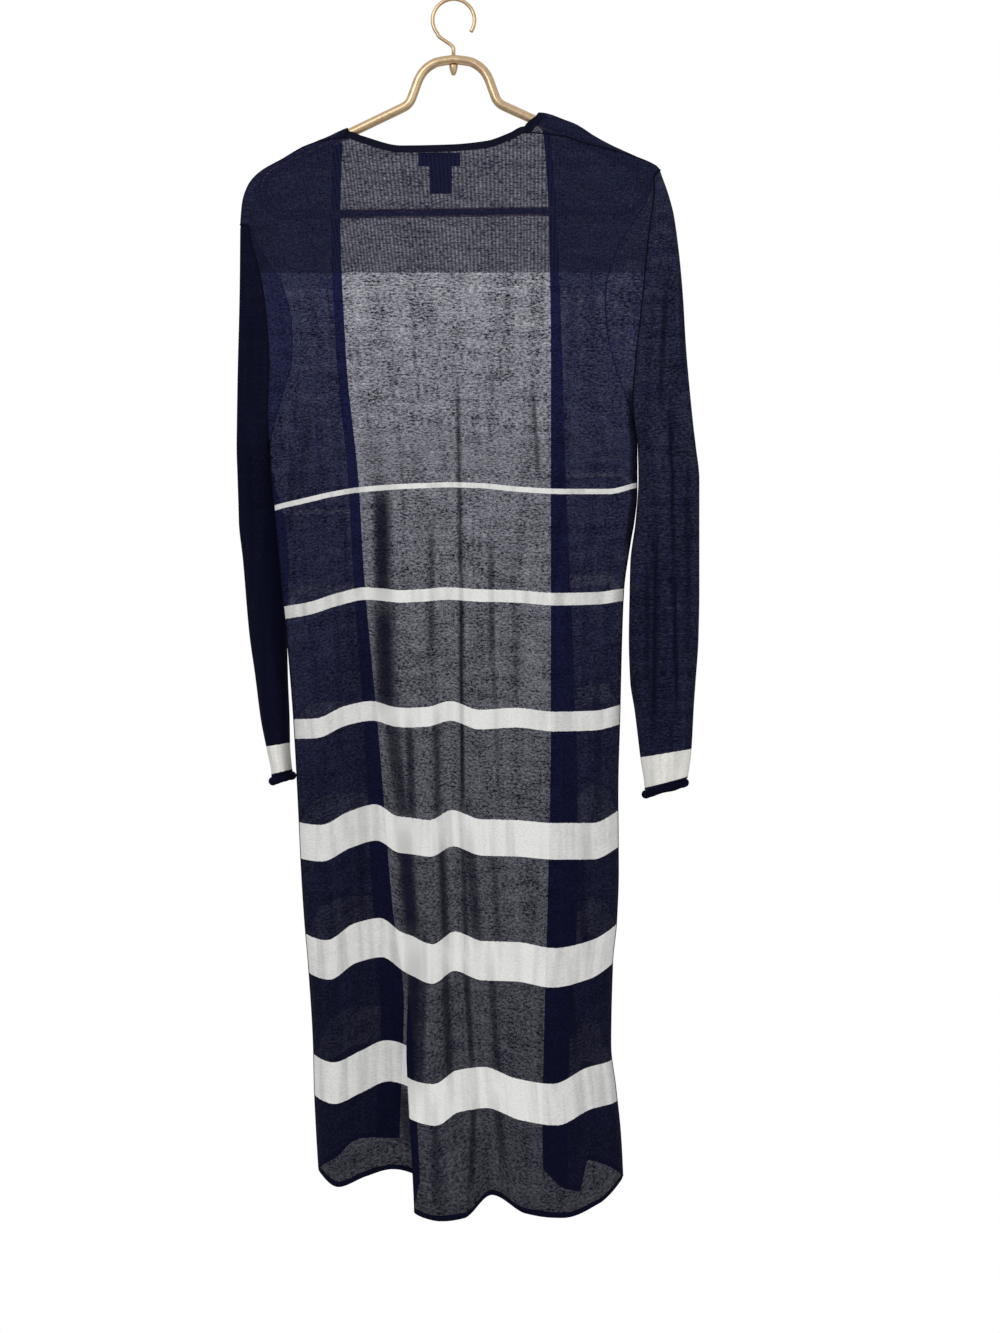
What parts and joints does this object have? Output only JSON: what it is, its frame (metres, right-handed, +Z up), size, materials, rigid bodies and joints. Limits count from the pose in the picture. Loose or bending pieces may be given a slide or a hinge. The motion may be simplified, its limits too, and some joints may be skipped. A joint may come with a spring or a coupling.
{
  "type": "duster cardigan on a hanger",
  "caption": "Long open-fronted sheer knit duster cardigan in navy with white stripes near the hem and cuffs, hanging on a gold bar hanger, seen from behind.",
  "frame": {"origin": "the inside top of the hanger's hook, where a rail holds it", "axes": "+Z up along the hook's shank, +Y from the back of the garment to its open front, +X to the wearer's right"},
  "size_m": [0.4874, 0.0817, 1.279],
  "materials": {
    "navy_knit": "sheer slubbed knit, matte",
    "navy_trim": "close knit trim, matte",
    "dark_label": "woven satin, blank",
    "gold_bar": "satin gold anodised"
  },
  "bodies": {
    "root": {"hanger_frame": "gold_bar", "hanger_hook": "gold_bar", "hanger_ferrule": "gold_bar", "back": "navy_knit", "front_left": "navy_knit", "front_right": "navy_knit", "front_band_left": "navy_trim", "front_band_right": "navy_trim", "sleeve_left": "navy_knit", "sleeve_right": "navy_knit", "neck_band": "navy_trim", "neck_label": "dark_label", "care_label": "dark_label"}
  },
  "joints": []
}
